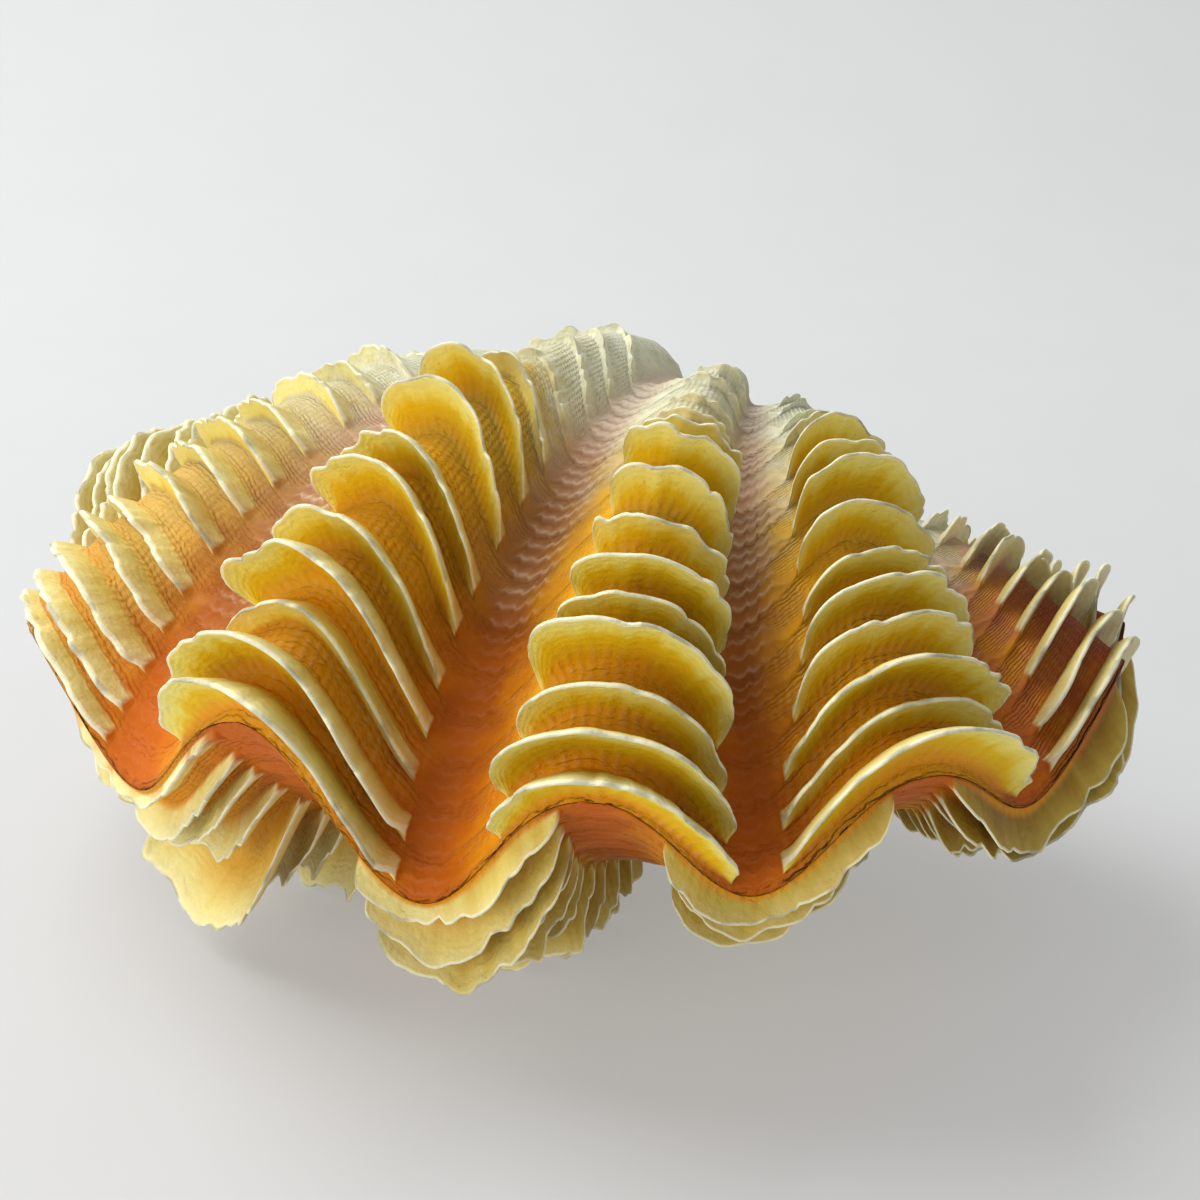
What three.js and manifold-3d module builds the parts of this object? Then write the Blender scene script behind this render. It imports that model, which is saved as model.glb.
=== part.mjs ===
// A fluted giant clam shell: two closed valves and the ligament that holds them at the hinge.
// Millimetres, +Z up. The hinge line runs along X, and the opening edge faces -Y.
import * as THREE from 'three';
import { mergeVertices } from 'three/addons/utils/BufferGeometryUtils.js';
import Module from 'manifold-3d';

const wasm = await Module();
wasm.setup();

// Driving dimensions of the opening edge, an oval seen from above
const OUTLINE_HALF_LENGTH = 140;
const OUTLINE_HALF_DEPTH = 121;
const UMBO_INSET = 73;

// Ribs of the upper valve: azimuth in degrees from straight ahead, crest height over the edge's
// middle plane, and sideways drift in degrees as the growth angle goes up by one radian
const RIBS = [
  { azimuth: -68, rise: 11, drift: 0 },
  { azimuth: -37, rise: 7, drift: 4 },
  { azimuth: -3, rise: 20, drift: 4 },
  { azimuth: 22, rise: 13.5, drift: -1 },
  { azimuth: 44.8, rise: 11.5, drift: -8 },
  { azimuth: 73, rise: 9, drift: 0 },
  { azimuth: 83, rise: 11, drift: 0 },
];
const END_AZIMUTH = 90;
const FIRST_PHASE = -0.5;
const LAST_PHASE = RIBS.length - 0.5;
const RIB_FLARE = 0.014;
const RIB_BREADTH = 2.25;
const FADE_DEGREES = 12;

// Growth: an older edge is the present one, made smaller and turned about the hinge line
const DEPTH_RATE = 0.739;
const LENGTH_RATE = 0.54;
const SLOWING = 0.035;
const EARLY_ANGLE = 1.4;
const EARLY_RATE = 0.9;
const UMBO_ANGLE = 2.75;

// Scutes: the flared edges left standing on the ribs
const SCUTE_FIRST = 0.016;
const SCUTE_STEP = 0.045;
const SCUTE_RATIO = 1.09;
const SCUTE_HEIGHT = 19;
const WORN_SHARE = 0.2;
const WORN_RANGE = 0.2;
const HEIGHT_POWER = 0.8;
const NEW_REACH = 0.42;
const OLD_REACH_LEFT = 0.25;
const OLD_REACH_RIGHT = 0.36;
const REACH_RANGE = 0.35;
const ARCH_POWER = 6;
const SCUTE_FOOT = 0.006;
const SCUTE_FLARE = 0.45;
const SCUTE_LEAN = 0.1;
const SCUTE_THICKNESS = 1.3;
const THIN_END = 0.35;
const THICK_HEIGHT = 4;
const YOUNG_RANGE = 0.12;
const GROWTH_STEP = 0.4;
const JITTER_ANGLE = 0.3;
const JITTER_HEIGHT = 0.4;
const SCUTE_SEED = 7.3;
const RIB_SEED = 31.7;
const ANGLE_SALT = 1;
const HEIGHT_SALT = 5;
const BLUNT_SCUTES = 6;
const SURFACE_STEP = 1e-3;

// Walls: the inner face is the outer one drawn toward the middle of the hollow
const HOLLOW_CENTRE = new THREE.Vector3(0, -62, 0);
const WALL_AT_EDGE = 0.94;
const WALL_AT_UMBO = 0.82;
const INNER_ROWS = 5;
const INNER_LAST_ANGLE = 2.2;
const INNER_CROWDING = 1.5;
const VALVE_GAP = 0.5;
const MERGE_DISTANCE = 1e-4;

// Worn tips: the lower scutes are worn flat where the shell stands
const REST_DEPTH = 66;
const CUTTER_SIZE = 560;
const SLIVER_SIZE = 0.05;

// Ligament: a dark bar of dried tissue just behind the hinge line
const LIGAMENT_NEAR = 40;
const LIGAMENT_FAR = 102;
const LIGAMENT_RADIUS = 2.6;
const LIGAMENT_HEIGHT_SCALE = 1.2;
const LIGAMENT_CLEARANCE = 0.4;
const LIGAMENT_SIDES = 12;
const LIGAMENT_STEPS = 12;
const LIGAMENT_BLUNTNESS = 0.7;

// Each valve: how far it bulges and where its crests lie. For each of its ribs in turn: how far apart
// and how tall the scutes stand, the share of that height near the opening edge, the growth angle
// beyond which they are worn low, and how far they reach down the left flank. odd lists single scutes
// as rib, scute and height share.
const VALVES = {
  upper: {
    side: 1,
    bulge: 0.86,
    crestShift: 0,
    scutes: 14,
    seed: 3,
    pace: [1.1, 1.1, 1.12, 1, 1.3, 1.9, 1.8],
    tall: [0.6, 0.45, 1, 1, 0.95, 0.55, 0.9],
    young: [0.7, 0.4, 0.9, 0.7, 1, 0.7, 0.7],
    worn: [0.7, 0.85, 0.58, 0.54, 0.8, 0.9, 0.9],
    reachLeft: [1, 1, 0.55, 0.63, 1, 1, 1],
    odd: [[3, 2, 0.82], [2, 1, 1.15], [2, 2, 0.4], [2, 4, 0.8], [4, 1, 0.7]],
  },
  lower: {
    side: -1,
    bulge: 0.8,
    crestShift: 0.5,
    scutes: 12,
    seed: 71,
    pace: [1, 1, 1, 1, 1, 1, 1, 1],
    tall: [0.5, 0.75, 0.95, 1.1, 0.5, 0.75, 1.4, 0.8],
    young: [0.7, 0.3, 0.2, 0.3, 1, 1, 0.8, 0.8],
    worn: [0.8, 0.8, 0.8, 0.8, 0.8, 0.8, 0.8, 0.8],
    reachLeft: [1, 1, 0.6, 0.45, 0.7, 0.7, 1, 1],
    odd: [[1, 4, 1.5], [1, 6, 0.7], [2, 2, 0.6], [2, 3, 0.85], [2, 4, 1.6], [2, 5, 1.3], [2, 7, 1.3]],
  },
};

// The mesh: where in each rib its columns lie, from groove to groove, and where the rows beyond the
// last scute lie, as shares of the way to the umbo
const COLUMN_OFFSETS = [-0.5, -0.34, -0.16, 0, 0.16, 0.34];
const UMBO_SHARES = [0.12, 0.3, 0.6, 1];

// Numbers that make the repeatable jitter
const JITTER_TURN = 12.9898;
const JITTER_START = 4.1;
const JITTER_SIZE = 43758.5453;

const clamp = THREE.MathUtils.clamp;
const lerp = THREE.MathUtils.lerp;
const radians = THREE.MathUtils.degToRad;

function smoothstep(value) {
  const t = clamp(value, 0, 1);
  return t * t * (3 - 2 * t);
}

// A repeatable number between 0 and 1 for each seed
function wobble(seed) {
  const x = Math.sin(seed * JITTER_TURN + JITTER_START) * JITTER_SIZE;
  return x - Math.floor(x);
}

// A list of values, one for each crest, read at a place between two of them
function between(values, place) {
  const last = values.length - 1;
  const left = Math.floor(place);
  return lerp(values[clamp(left, 0, last)], values[clamp(left + 1, 0, last)], place - left);
}

// One of the ribs' values at a phase: whole numbers are crests, and the halves between are grooves
function ribValue(name, phase) {
  return between(RIBS.map((rib) => rib[name]), clamp(phase, FIRST_PHASE, LAST_PHASE));
}

// The direction of a phase from the umbo, in degrees from straight ahead
function azimuthAt(phase) {
  const beyond = Math.max(-phase, phase - (RIBS.length - 1), 0) / (LAST_PHASE - (RIBS.length - 1));
  const rib = ribValue('azimuth', phase);
  return lerp(rib, Math.sign(rib) * END_AZIMUTH, Math.min(beyond, 1));
}

// How far the oval outline lies from the umbo in one direction
function outlineReach(azimuth) {
  const across = Math.sin(radians(azimuth));
  const back = -Math.cos(radians(azimuth));
  const umboBack = OUTLINE_HALF_DEPTH - UMBO_INSET;
  const a = (across / OUTLINE_HALF_LENGTH) ** 2 + (back / OUTLINE_HALF_DEPTH) ** 2;
  const b = (back * umboBack) / OUTLINE_HALF_DEPTH ** 2;
  const c = (umboBack / OUTLINE_HALF_DEPTH) ** 2 - 1;
  return (-b + Math.sqrt(b * b - a * c)) / a;
}

// The ribs die away toward both ends of the hinge line
function endFade(phase) {
  return smoothstep((END_AZIMUTH - Math.abs(azimuthAt(phase))) / FADE_DEGREES);
}

// The zigzag opening edge that both valves share: +1 is a crest and -1 a groove
function foldAt(phase) {
  return (1 - 2 * Math.abs(Math.sin(Math.PI * phase)) ** RIB_BREADTH) * endFade(phase);
}

// How much smaller the shell was at a growth angle, with its own rate for depth and for length
function shrinkAt(rate, angle) {
  const early = Math.max(0, angle - EARLY_ANGLE);
  return Math.exp(-rate * angle + SLOWING * angle ** 2 - EARLY_RATE * early ** 2);
}

// A point of a valve's outer surface, in a frame where the valve bulges toward +Z
function surfacePoint(valve, phase, angle) {
  const fold = foldAt(phase);
  const reach = outlineReach(azimuthAt(phase)) * (1 + RIB_FLARE * fold);
  const direction = radians(azimuthAt(phase) + endFade(phase) * ribValue('drift', phase) * angle);
  const length = shrinkAt(LENGTH_RATE, angle);
  const depth = shrinkAt(DEPTH_RATE, angle);
  const y = -reach * Math.cos(direction);
  const z = valve.side * ribValue('rise', phase) * fold;
  const cos = Math.cos(angle);
  const sin = Math.sin(angle);
  return new THREE.Vector3(
    reach * Math.sin(direction) * length,
    (y * cos + z * sin) * depth,
    (z * cos - valve.bulge * y * sin) * depth,
  );
}

// The direction out of the surface, and the direction along it toward the opening edge
function surfaceFrame(valve, phase, angle) {
  const step = SURFACE_STEP;
  const before = surfacePoint(valve, Math.max(phase - step, FIRST_PHASE), angle);
  const after = surfacePoint(valve, Math.min(phase + step, LAST_PHASE), angle);
  const older = surfacePoint(valve, phase, angle + step);
  const newer = surfacePoint(valve, phase, angle - step);
  const along = newer.sub(older).normalize();
  const out = along.clone().cross(after.sub(before)).normalize();
  return { out, along };
}

// Crests sit at whole phases on the upper valve and at half phases on the lower one
function nearestCrest(valve, phase) {
  const crest = Math.round(phase + valve.crestShift) - valve.crestShift;
  return clamp(crest, FIRST_PHASE, LAST_PHASE);
}

// Each rib has its own numbers, blended from rib to rib
function ribJitter(valve, phase, scute, salt) {
  const place = phase + valve.crestShift;
  const rib = Math.floor(place);
  const seed = valve.seed + scute * SCUTE_SEED + salt;
  const near = wobble(seed + rib * RIB_SEED);
  const far = wobble(seed + (rib + 1) * RIB_SEED);
  return lerp(near, far, smoothstep(place - rib));
}

// Growth angle of one scute, counted from the opening edge
function scuteAngle(valve, phase, scute) {
  const even = SCUTE_FIRST + (SCUTE_STEP * (SCUTE_RATIO ** scute - 1)) / (SCUTE_RATIO - 1);
  const step = SCUTE_STEP * SCUTE_RATIO ** scute;
  const pace = between(valve.pace, phase + valve.crestShift);
  return pace * (even + (ribJitter(valve, phase, scute, ANGLE_SALT) - 0.5) * JITTER_ANGLE * step);
}

// A scute is full height on the crest and runs out before the groove, older ones sooner
function scuteShare(valve, phase, angle) {
  const shifted = phase + valve.crestShift;
  const rib = Math.round(shifted);
  const old = shifted < rib ? OLD_REACH_LEFT : OLD_REACH_RIGHT;
  const ribReach = shifted < rib ? between(valve.reachLeft, rib) : 1;
  const reach = ribReach * lerp(NEW_REACH, old, smoothstep(angle / REACH_RANGE));
  const arch = Math.sqrt(Math.max(0, 1 - ((shifted - rib) / reach) ** ARCH_POWER));
  return arch * endFade(phase);
}

// How much of the usual height one scute has: less when young, worn or one of the odd ones
function scuteKept(valve, phase, scute, angle) {
  const place = phase + valve.crestShift;
  const wear = smoothstep((angle - between(valve.worn, place)) / WORN_RANGE);
  const young = lerp(between(valve.young, place), 1, smoothstep(angle / YOUNG_RANGE));
  const odd = valve.odd.find(([rib, number]) => rib === Math.round(place) && number === scute);
  const tall = between(valve.tall, place) * (odd ? odd[2] : 1);
  return tall * young * lerp(1, WORN_SHARE, wear);
}

// The rows of one scute over one column: its foot, its free edge and the end of its flare
function scuteColumn(valve, phase, scute) {
  const angle = scuteAngle(valve, phase, scute);
  const shrink = shrinkAt(LENGTH_RATE, angle);
  const jitter = 1 + (ribJitter(valve, phase, scute, HEIGHT_SALT) - 0.5) * JITTER_HEIGHT;
  const share = scuteShare(valve, phase, angle) * scuteKept(valve, phase, scute, angle);
  const height = SCUTE_HEIGHT * shrink ** HEIGHT_POWER * share * jitter;
  const { out, along } = surfaceFrame(valve, phase, angle);
  const crestOut = surfaceFrame(valve, nearestCrest(valve, phase), angle).out;
  const up = out.add(crestOut).normalize();
  const tip = surfacePoint(valve, phase, angle).addScaledVector(up, GROWTH_STEP + height);
  tip.addScaledVector(along, SCUTE_LEAN * height);
  const foot = surfacePoint(valve, phase, angle - SCUTE_FOOT);
  const flare = surfacePoint(valve, phase, angle + SCUTE_FLARE * SCUTE_STEP * SCUTE_RATIO ** scute);
  if (scute >= BLUNT_SCUTES) return [foot, tip, flare];
  const half = 0.5 * SCUTE_THICKNESS * Math.sqrt(shrink) * clamp(height / THICK_HEIGHT, THIN_END, 1);
  return [foot, tip.clone().addScaledVector(along, half), tip.addScaledVector(along, -half), flare];
}

// The outer surface over one column, from the opening edge to the umbo
function outerColumn(valve, phase) {
  const column = [surfacePoint(valve, phase, 0)];
  for (let scute = 0; scute < valve.scutes; scute += 1) column.push(...scuteColumn(valve, phase, scute));
  const last = scuteAngle(valve, phase, valve.scutes) - SCUTE_FOOT;
  for (const share of UMBO_SHARES) column.push(surfacePoint(valve, phase, lerp(last, UMBO_ANGLE, share)));
  return column;
}

function towardHollow(point, keep) {
  return point.clone().sub(HOLLOW_CENTRE).multiplyScalar(keep).add(HOLLOW_CENTRE);
}

// The smooth inner surface over one column, from the opening edge to the umbo
function innerColumn(valve, phase) {
  const column = [];
  for (let row = 0; row < INNER_ROWS; row += 1) {
    const share = row / (INNER_ROWS - 1);
    const angle = INNER_LAST_ANGLE * share ** INNER_CROWDING;
    const keep = lerp(WALL_AT_EDGE, WALL_AT_UMBO, share);
    column.push(towardHollow(surfacePoint(valve, phase, angle), keep));
  }
  return column;
}

// One closed skin: outer surface, inner surface, the rim between them and the hinge plate
function valveGeometry(valve) {
  const phases = [];
  for (const rib of RIBS.keys()) phases.push(...COLUMN_OFFSETS.map((offset) => rib + offset));
  phases.push(LAST_PHASE);
  const umbo = new THREE.Vector3(0, 0, 0);
  const outer = phases.map((phase) => outerColumn(valve, phase).concat(umbo));
  const inner = phases.map((phase) => innerColumn(valve, phase).concat(towardHollow(umbo, WALL_AT_UMBO)));
  const corners = [];
  const triangle = (a, b, c) => corners.push(...(valve.side > 0 ? [a, b, c] : [a, c, b]));
  const quad = (a, b, c, d) => {
    triangle(a, b, c);
    triangle(a, c, d);
  };
  for (let i = 0; i < phases.length - 1; i += 1) {
    const [left, right] = [outer[i], outer[i + 1]];
    const [leftIn, rightIn] = [inner[i], inner[i + 1]];
    for (let r = 0; r < left.length - 2; r += 1) quad(left[r], right[r], right[r + 1], left[r + 1]);
    triangle(left.at(-2), right.at(-2), umbo);
    quad(leftIn[0], rightIn[0], right[0], left[0]);
    for (let r = 0; r < leftIn.length - 2; r += 1) {
      quad(leftIn[r + 1], rightIn[r + 1], rightIn[r], leftIn[r]);
    }
    triangle(leftIn.at(-1), rightIn.at(-2), leftIn.at(-2));
  }
  hingePlate(outer[0], inner[0], triangle);
  hingePlate(outer.at(-1), inner.at(-1), (a, b, c) => triangle(a, c, b));
  const positions = [];
  for (const corner of corners) {
    positions.push(corner.x, corner.y, valve.side * (corner.z + VALVE_GAP / 2));
  }
  const geometry = new THREE.BufferGeometry();
  geometry.setAttribute('position', new THREE.Float32BufferAttribute(positions, 3));
  return mergeVertices(geometry, MERGE_DISTANCE);
}

// The flat strip along the hinge line, between an end column of the outside and of the inside
function hingePlate(outerEnd, innerEnd, triangle) {
  let i = 0;
  let j = 0;
  while (i < outerEnd.length - 1 || j < innerEnd.length - 1) {
    const innerDone = j === innerEnd.length - 1;
    const outerDone = i === outerEnd.length - 1;
    const bothLeft = !outerDone && !innerDone;
    const outerFarther = bothLeft && Math.abs(outerEnd[i + 1].x) >= Math.abs(innerEnd[j + 1].x);
    if (innerDone || outerFarther) {
      triangle(outerEnd[i], outerEnd[i + 1], innerEnd[j]);
      i += 1;
    } else {
      triangle(outerEnd[i], innerEnd[j + 1], innerEnd[j]);
      j += 1;
    }
  }
}

function toSolid(geometry) {
  const mesh = new wasm.Mesh({
    numProp: 3,
    vertProperties: new Float32Array(geometry.attributes.position.array),
    triVerts: new Uint32Array(geometry.index.array),
  });
  return new wasm.Manifold(mesh);
}

function fromSolid(solid) {
  const mesh = solid.getMesh();
  const geometry = new THREE.BufferGeometry();
  geometry.setAttribute('position', new THREE.Float32BufferAttribute(mesh.vertProperties, 3));
  geometry.setIndex([...mesh.triVerts]);
  return geometry;
}

// The lower valve with the lowest scutes worn flat
function wornLowerValve() {
  const size = CUTTER_SIZE;
  const below = new THREE.BoxGeometry(size, size, size);
  below.deleteAttribute('normal');
  below.deleteAttribute('uv');
  below.translate(0, 0, -REST_DEPTH - size / 2);
  const worn = toSolid(valveGeometry(VALVES.lower)).subtract(toSolid(mergeVertices(below)));
  return fromSolid(worn.setTolerance(SLIVER_SIZE));
}

function ligamentGeometry() {
  const halfLength = (LIGAMENT_FAR - LIGAMENT_NEAR) / 2;
  const profile = [];
  for (let i = 0; i <= LIGAMENT_STEPS; i += 1) {
    const turn = (Math.PI * i) / LIGAMENT_STEPS;
    const atEnd = i === 0 || i === LIGAMENT_STEPS;
    const radius = atEnd ? 0 : LIGAMENT_RADIUS * Math.sin(turn) ** LIGAMENT_BLUNTNESS;
    profile.push(new THREE.Vector2(radius, -halfLength * Math.cos(turn)));
  }
  const geometry = new THREE.LatheGeometry(profile, LIGAMENT_SIDES);
  geometry.rotateZ(Math.PI / 2);
  geometry.scale(1, 1, LIGAMENT_HEIGHT_SCALE);
  const middle = -(LIGAMENT_NEAR + LIGAMENT_FAR) / 2;
  geometry.translate(middle, LIGAMENT_CLEARANCE + LIGAMENT_RADIUS, 0);
  geometry.deleteAttribute('normal');
  geometry.deleteAttribute('uv');
  return mergeVertices(geometry);
}

function shellMaterial(color) {
  return new THREE.MeshStandardMaterial({ color, roughness: 0.55, metalness: 0 });
}

function namedMesh(name, geometry, material) {
  const mesh = new THREE.Mesh(geometry, material);
  mesh.name = name;
  return mesh;
}

const shell = new THREE.Group();
shell.add(namedMesh('upper_valve', valveGeometry(VALVES.upper), shellMaterial(0xe9b85c)));
shell.add(namedMesh('lower_valve', wornLowerValve(), shellMaterial(0xe2cf8a)));
const ligamentMaterial = new THREE.MeshStandardMaterial({ color: 0x3a2415, roughness: 0.75, metalness: 0 });
shell.add(namedMesh('hinge_ligament', ligamentGeometry(), ligamentMaterial));

// Stand the shell on its worn tips, centred over the origin
const bounds = new THREE.Box3().setFromObject(shell);
const centre = bounds.getCenter(new THREE.Vector3());
shell.position.set(-centre.x, -centre.y, -bounds.min.z);

export default shell;
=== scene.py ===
import math

import bpy
import numpy as np
from mathutils import Matrix, Vector


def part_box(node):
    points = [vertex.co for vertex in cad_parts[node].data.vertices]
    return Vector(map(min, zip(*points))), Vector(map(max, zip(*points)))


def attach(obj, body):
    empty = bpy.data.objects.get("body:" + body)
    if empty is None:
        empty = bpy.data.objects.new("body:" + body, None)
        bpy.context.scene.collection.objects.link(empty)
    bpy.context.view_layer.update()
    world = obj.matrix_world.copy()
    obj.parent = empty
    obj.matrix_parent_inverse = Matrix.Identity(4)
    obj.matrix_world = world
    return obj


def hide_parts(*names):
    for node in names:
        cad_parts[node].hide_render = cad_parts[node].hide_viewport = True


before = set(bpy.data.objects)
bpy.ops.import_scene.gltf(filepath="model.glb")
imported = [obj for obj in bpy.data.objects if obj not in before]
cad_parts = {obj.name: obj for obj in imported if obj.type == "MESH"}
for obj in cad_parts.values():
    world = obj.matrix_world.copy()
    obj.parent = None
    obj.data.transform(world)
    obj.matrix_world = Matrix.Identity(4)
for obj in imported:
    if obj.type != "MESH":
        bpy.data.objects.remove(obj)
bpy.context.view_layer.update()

MM = 0.001

# Driving dimensions of the opening edge, in mm, with the names and values that part.mjs has
OUTLINE_HALF_LENGTH = 140.0
OUTLINE_HALF_DEPTH = 121.0
UMBO_INSET = 73.0

# Ribs of the upper valve: azimuth in degrees, crest height in mm, and drift in degrees per radian
RIB_AZIMUTHS = [-68, -37, -3, 22, 44.8, 73, 83]
RIB_RISES = [11, 7, 20, 13.5, 11.5, 9, 11]
RIB_DRIFTS = [0, 4, 4, -1, -8, 0, 0]
END_AZIMUTH = 90.0
FIRST_PHASE = -0.5
LAST_PHASE = len(RIB_AZIMUTHS) - 0.5
RIB_FLARE = 0.014
RIB_BREADTH = 2.25
FADE_DEGREES = 12.0

# Growth: an older edge is the present one, made smaller and turned about the hinge line
DEPTH_RATE = 0.739
LENGTH_RATE = 0.54
SLOWING = 0.035
EARLY_ANGLE = 1.4
EARLY_RATE = 0.9
UMBO_ANGLE = 2.75

# Scutes: the flared edges left standing on the ribs. Angles are in radians of growth, lengths in mm
SCUTE_FIRST = 0.016
SCUTE_STEP = 0.045
SCUTE_RATIO = 1.09
SCUTE_HEIGHT = 19.0
WORN_SHARE = 0.2
WORN_RANGE = 0.2
HEIGHT_POWER = 0.8
NEW_REACH = 0.42
OLD_REACH_LEFT = 0.25
OLD_REACH_RIGHT = 0.36
REACH_RANGE = 0.35
ARCH_POWER = 6
SCUTE_FOOT = 0.006
SCUTE_LEAN = 0.1
SCUTE_THICKNESS = 0.9
THIN_END = 0.35
THICK_HEIGHT = 4.0
YOUNG_RANGE = 0.12
GROWTH_STEP = 0.4
JITTER_ANGLE = 0.3
JITTER_HEIGHT = 0.4
SCUTE_SEED = 7.3
RIB_SEED = 31.7
ANGLE_SALT = 1
HEIGHT_SALT = 5
SURFACE_STEP = 1e-3

# Walls and rest
HOLLOW_CENTRE = np.array([0.0, -62.0, 0.0])
WALL_AT_EDGE = 0.94
WALL_AT_UMBO = 0.82
INNER_ROWS = 4
INNER_LAST_ANGLE = 0.8 * UMBO_ANGLE
INNER_CROWDING = 1.5
VALVE_GAP = 0.22
REST_DEPTH = 66.0
DEPTH_LIMIT = REST_DEPTH - VALVE_GAP / 2

# The hinge axis, found from the ligament node that lies just behind it
LIGAMENT_NEAR = 40.0
LIGAMENT_CLEARANCE = 0.4

# Each valve: the way it bulges and how far, how its ribs are shifted from the upper valve's, and then for
# each rib its pace of growth, scute height, share of that on the newest scutes, angle where wear starts
# and how far scutes reach down its left side. odd has (rib, scute, factor) for single scutes, and
# edge_waves has the waves of the free edge as (pitch in mm, share of the height)
VALVES = {
    "upper": dict(side=1, bulge=0.86, crest_shift=0.0, scutes=14, seed=3, columns=520,
                  pace=[1.1, 1.1, 1.12, 1, 1.3, 1.9, 1.8],
                  tall=[0.6, 0.45, 1, 1, 0.95, 0.55, 0.9],
                  young=[0.7, 0.4, 0.9, 0.7, 1, 0.7, 0.7],
                  worn=[0.7, 0.85, 0.58, 0.54, 0.8, 0.9, 0.9],
                  reach_left=[1, 1, 0.55, 0.63, 1, 1, 1],
                  odd=[(3, 2, 0.82), (2, 1, 1.15), (2, 2, 0.4), (2, 4, 0.8), (4, 1, 0.7)],
                  edge_waves=[(12, 0.13), (4.5, 0.08)]),
    "lower": dict(side=-1, bulge=0.8, crest_shift=0.5, scutes=12, seed=71, columns=560,
                  pace=[1] * 8,
                  tall=[0.5, 0.75, 0.95, 1.1, 0.5, 0.75, 1.4, 0.8],
                  young=[0.7, 0.3, 0.2, 0.3, 1, 1, 0.8, 0.8],
                  worn=[0.8] * 8,
                  reach_left=[1, 1, 0.6, 0.45, 0.7, 0.95, 1, 1],
                  odd=[(1, 4, 1.5), (1, 6, 0.7), (2, 2, 0.6), (2, 3, 0.85), (2, 4, 1.6), (2, 5, 1.3),
                       (2, 7, 1.3)],
                  edge_waves=[(9, 0.3), (3.5, 0.12)]),
}

# Rows of one scute, from its foot up its face, over the free edge and down its back: place in the growth
# step, height share, side (1 faces the opening edge, -1 the hinge) and height of the groove's ripple
SCUTE_ROWS = [
    (-1.0, 0.0, 0, 0.0),
    (-0.8, 0.22, 1, 1.0),
    (-0.5, 0.5, 1, 0.66),
    (-0.22, 0.78, 1, 0.33),
    (-0.06, 0.94, 1, 0.0),
    (0.0, 1.0, 1, 1.0),
    (0.0, 1.0, -1, 0.66),
    (0.04, 0.86, -1, 0.33),
    (0.11, 0.58, -1, 0.0),
    (0.24, 0.26, -1, 1.0),
    (0.45, 0.0, 0, 0.66),
    (0.64, 0.0, 0, 0.33),
]

# How a scute stands: its bow, how its lean varies, and the waves along it as (pitch, size) in mm
FACE_BOW = 0.09
LEAN_RANGE = 0.24
LEAN_POWER = 1.5
LEAN_SALT = 9
LEAN_WAVES = [(19.0, 2.2), (7.0, 0.6)]
WAVE_HEIGHT = 10.0
FOOT_FADE = 4
LEAST_RISE = 0.05

# Jags and chips of the free edge as (pitch, depth) in mm, and the noise level at which a chip starts
EDGE_JAG = (3.2, 2.2)
EDGE_CHIP = (9.0, 2.6)
CHIP_START = 0.8
CHIP_RANGE = 0.12
CHIP_GRAIN = 1.7
JAG_SALT = 5
CHIP_SALT = 8
GRAIN_SALT = 9

# Growth layers in the grooves: where a groove starts from the crest, its ripple and its scallops
GROOVE_START = 0.38
OLD_GROOVE_START = 0.25
GROOVE_RANGE = 0.09
LAMELLA_RANGE = 0.6
GROOVE_RIPPLE = 1.3
YOUNG_RIPPLE = 0.25
LEAST_RIPPLE = 0.4
RIPPLE_PITCH = 11
RIPPLE_SALT = 4
SCALLOP_ANGLE = 0.009
SCALLOP_PITCH = 4.6
SCALLOP_WANDER = 1.5
WANDER_PITCH = 7
WANDER_SEED = 2

# Low ridges between the last scute and the umbo
UMBO_ROWS = 14
UMBO_CROWDING = 1.15
UMBO_RIDGE = 0.5
UMBO_RIDGE_PITCH = 9
UMBO_SEED = 40

# Repeatable noise
JITTER_TURN = 12.9898
JITTER_START = 4.1
JITTER_SIZE = 43758.5453
CELL_SEED = 1.37
EDGE_SEEDS = (3.1, 11.7)
WAVE_SEEDS = (5.3, 17.9)

# Columns are spaced along a line through the middle of the scutes near the opening edge
FINE_COLUMNS = 7001
SPACING_ANGLE = 0.1

# What the materials read at a point that is on no scute
OFF_SCUTE = dict(stand=0.0, edge=30.0, height=0.0, side=0.0, tooth=0.0)


def smoothstep(t):
    t = np.clip(t, 0, 1)
    return t * t * (3 - 2 * t)


def lerp(a, b, t):
    return a + (b - a) * t


def wobble(seed):
    """A repeatable number between 0 and 1 for each seed."""
    x = np.sin(np.asarray(seed, float) * JITTER_TURN + JITTER_START) * JITTER_SIZE
    return x - np.floor(x)


def noise(place, seed, ease=smoothstep):
    """Noise between 0 and 1 along one direction, smooth unless another ease is given."""
    cell = np.floor(place)
    return lerp(wobble(cell * CELL_SEED + seed), wobble((cell + 1) * CELL_SEED + seed), ease(place - cell))


def ragged(place, seed):
    """Noise with corners."""
    return noise(place, seed, ease=lambda t: t)


def between(values, place):
    return np.interp(place, np.arange(len(values)), values)


def azimuth_at(phase):
    """Direction from the umbo, in degrees: whole phases are the upper crests, halves the grooves."""
    places = [FIRST_PHASE, *range(len(RIB_AZIMUTHS)), LAST_PHASE]
    return np.interp(phase, places, [-END_AZIMUTH, *RIB_AZIMUTHS, END_AZIMUTH])


def outline_reach(azimuth):
    """How far the oval outline lies from the umbo in one direction."""
    across, back = np.sin(np.radians(azimuth)), -np.cos(np.radians(azimuth))
    umbo_back = OUTLINE_HALF_DEPTH - UMBO_INSET
    a = (across / OUTLINE_HALF_LENGTH) ** 2 + (back / OUTLINE_HALF_DEPTH) ** 2
    b = back * umbo_back / OUTLINE_HALF_DEPTH**2
    c = (umbo_back / OUTLINE_HALF_DEPTH) ** 2 - 1
    return (-b + np.sqrt(b * b - a * c)) / a


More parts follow.
